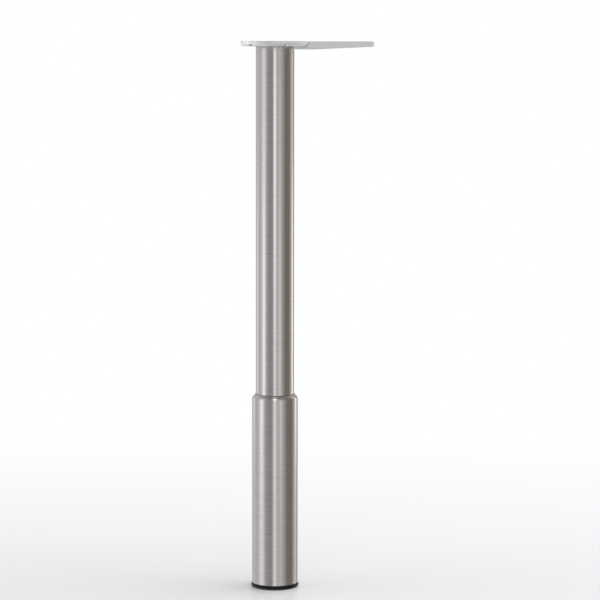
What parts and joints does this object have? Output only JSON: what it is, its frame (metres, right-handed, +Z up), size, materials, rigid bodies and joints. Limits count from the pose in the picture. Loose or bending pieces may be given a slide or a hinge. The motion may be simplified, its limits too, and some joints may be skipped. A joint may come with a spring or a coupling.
{
  "type": "height adjustable table leg",
  "caption": "Round telescopic table leg with a turning lower sleeve on a screw spindle, a swivel foot and a quick-release mounting plate with a lever lock.",
  "frame": {"origin": "centre of the foot's underside, on the leg's axis, at floor level", "axes": "+Z up along the leg towards its mounting face, +X along the locking lever"},
  "size_m": [0.1719, 0.0904, 0.71],
  "materials": {
    "tube_steel": "brushed around the tube",
    "cast_silver": "silver satin coat on a die casting",
    "plain_casting": "as cast",
    "plain_steel": "zinc plated",
    "spring_steel": "drawn wire",
    "nut_brass": "turned",
    "guide_plastic": "smooth moulded",
    "foot_plastic": "fine grained moulded"
  },
  "bodies": {
    "leg": {"mounting_plate": "cast_silver", "lever_pin": "plain_steel", "bolt_spring": "spring_steel", "leg_head": "plain_casting", "upper_tube": "tube_steel", "nut_carrier": "guide_plastic", "spindle_nut": "nut_brass", "slide_ring": "guide_plastic"},
    "lever": {"lock_lever": "cast_silver"},
    "bolt": {"lock_bolt": "plain_steel"},
    "foot": {"foot_pad": "foot_plastic", "thrust_washer": "guide_plastic"},
    "sleeve": {"lower_sleeve": "tube_steel", "guide_bush": "guide_plastic", "base_plug": "plain_casting", "drive_pin": "plain_steel", "spindle": "plain_steel", "lock_nut": "plain_steel", "lock_washer": "plain_steel", "stop_washer": "plain_steel", "stop_screw": "plain_steel", "foot_screw": "plain_steel"}
  },
  "joints": [
    {"name": "height_slide", "type": "slide", "parent": "foot", "child": "leg", "axis": [0, 0, 1], "range_m": [0, 0.15]},
    {"name": "sleeve_turn", "type": "hinge", "parent": "foot", "child": "sleeve", "pos_m": [0, 0, 0.1], "axis": [0, 0, -1], "range_deg": [0, 9000]},
    {"name": "lever_hinge", "type": "hinge", "parent": "leg", "child": "lever", "pos_m": [0.0435, 0, 0.7023], "axis": [0, 1, 0], "range_deg": [0, 75]},
    {"name": "bolt_slide", "type": "slide", "parent": "leg", "child": "bolt", "axis": [1, 0, 0], "range_m": [0, 0.0043], "deforming": ["bolt_spring"]}
  ],
  "couplings": [
    {"joint": "height_slide", "follows": "sleeve_turn", "m_per_rad": 0.00095493},
    {"joint": "bolt_slide", "follows": "lever_hinge", "m_per_rad": 0.003284}
  ]
}
